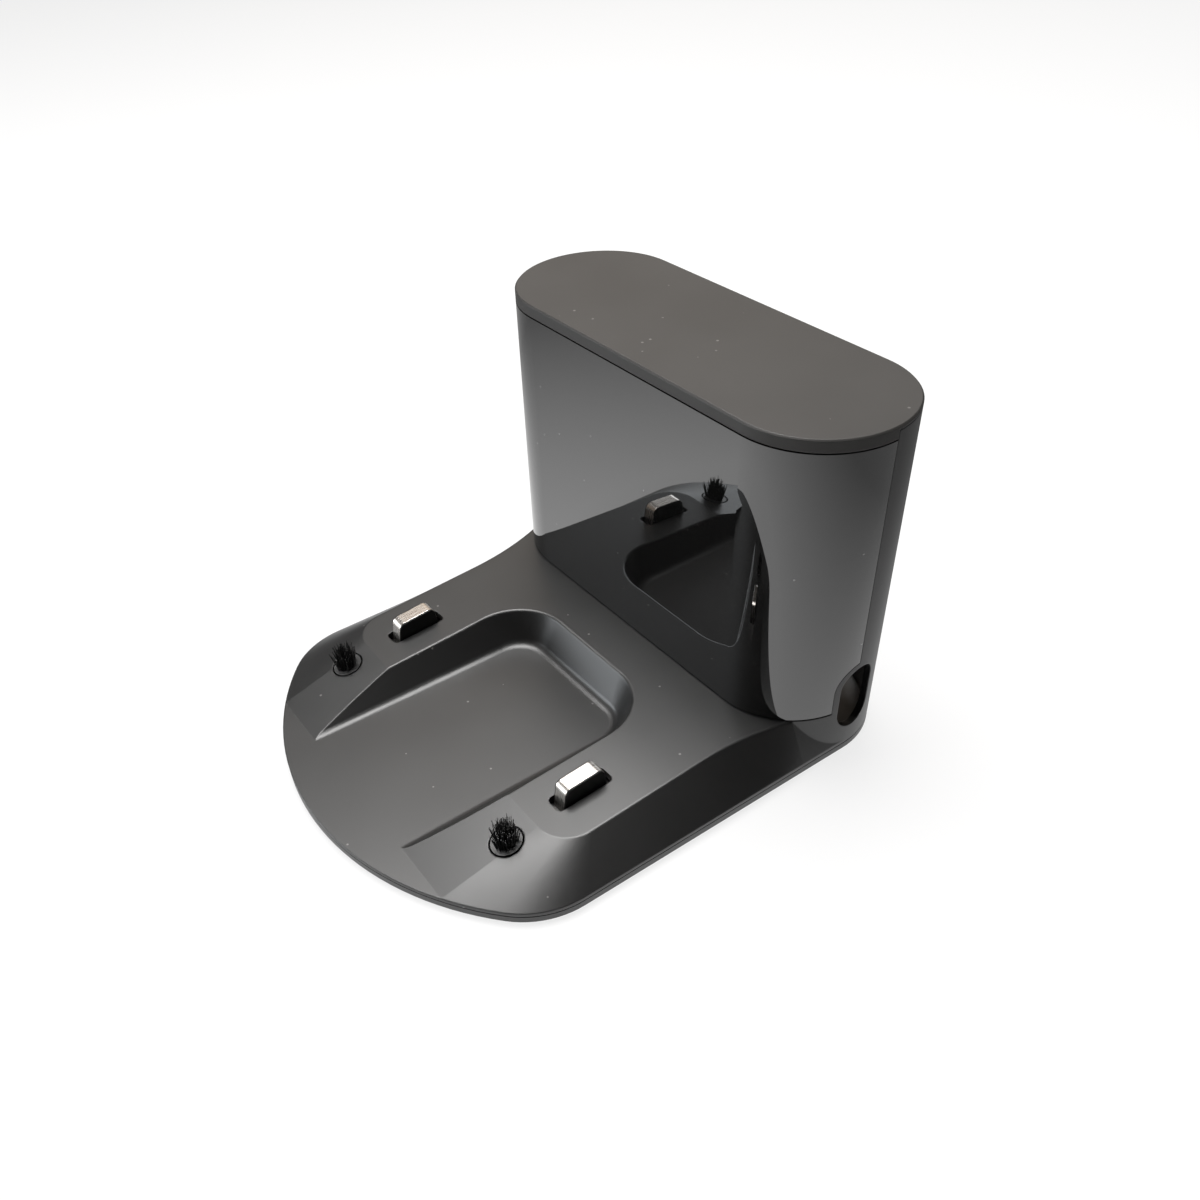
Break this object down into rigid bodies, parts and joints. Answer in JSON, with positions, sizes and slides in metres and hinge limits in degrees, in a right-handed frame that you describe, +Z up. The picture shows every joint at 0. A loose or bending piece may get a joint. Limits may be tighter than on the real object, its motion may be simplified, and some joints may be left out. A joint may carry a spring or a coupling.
{
  "type": "robot vacuum charging dock",
  "caption": "Charging dock for a robot vacuum cleaner: low ramp with a U-shaped recess, sprung contacts and small brushes, and an upright housing with a glossy front panel.",
  "frame": {"origin": "on the floor, at the middle of the dock's footprint", "axes": "+Z up, -Y towards the front of the ramp, +X to the right as seen from the front"},
  "size_m": [0.131, 0.152, 0.098],
  "materials": {
    "housing_plastic": "fine satin moulded texture, charcoal",
    "cover_plastic": "matte fine texture, charcoal",
    "window_gloss": "polished dark tinted plastic",
    "base_plastic": "satin, slightly lighter charcoal",
    "carrier_plastic": "satin black",
    "contact_metal": "nickel plated, fine lines along its length",
    "spring_steel": "drawn wire",
    "screw_steel": "blackened steel",
    "ballast_steel": "zinc plated sheet",
    "plug_plastic": "matte grey",
    "bristle": "black nylon bristles",
    "foot_rubber": "matte rubber",
    "inlet_plastic": "satin black",
    "circuit_board": "green solder mask",
    "transformer_core": "varnished laminations and tape",
    "component_black": "black sleeve",
    "choke_ferrite": "coated ferrite",
    "fuse_ceramic": "glazed tube",
    "emitter_clear": "tinted clear resin",
    "lead_insulation": "soft insulation"
  },
  "bodies": {
    "dock": {"housing": "housing_plastic", "top_cover": "cover_plastic", "front_window": "window_gloss", "bottom_plate": "base_plastic", "housing_screws": "screw_steel", "ballast_plate": "ballast_steel", "main_board": "circuit_board", "board_screws": "screw_steel", "transformer": "transformer_core", "smoothing_capacitor": "component_black", "filter_choke": "choke_ferrite", "mains_fuse": "fuse_ceramic", "control_chip": "component_black", "signal_board": "circuit_board", "infrared_emitters": "emitter_clear", "power_inlet": "inlet_plastic", "inlet_pins": "contact_metal", "rubber_foot_front_left": "foot_rubber", "rubber_foot_front_right": "foot_rubber", "rubber_foot_rear_left": "foot_rubber", "rubber_foot_rear_right": "foot_rubber", "contact_holder_left": "inlet_plastic", "contact_spring_left": "spring_steel", "contact_lead_left": "lead_insulation", "brush_plug_left": "plug_plastic", "brush_tuft_left": "bristle", "contact_holder_right": "inlet_plastic", "contact_spring_right": "spring_steel", "contact_lead_right": "lead_insulation", "brush_plug_right": "plug_plastic", "brush_tuft_right": "bristle"},
    "contact_left": {"contact_carrier_left": "carrier_plastic", "contact_strip_left": "contact_metal"},
    "contact_right": {"contact_carrier_right": "carrier_plastic", "contact_strip_right": "contact_metal"}
  },
  "joints": [
    {"name": "contact_left_press", "type": "slide", "parent": "dock", "child": "contact_left", "axis": [0, 0, -1], "range_m": [0, 0.0028], "stiffness_N_per_m": 150, "springref_m": -0.003, "deforming": ["contact_spring_left"]},
    {"name": "contact_right_press", "type": "slide", "parent": "dock", "child": "contact_right", "axis": [0, 0, -1], "range_m": [0, 0.0028], "stiffness_N_per_m": 150, "springref_m": -0.003, "deforming": ["contact_spring_right"]}
  ]
}
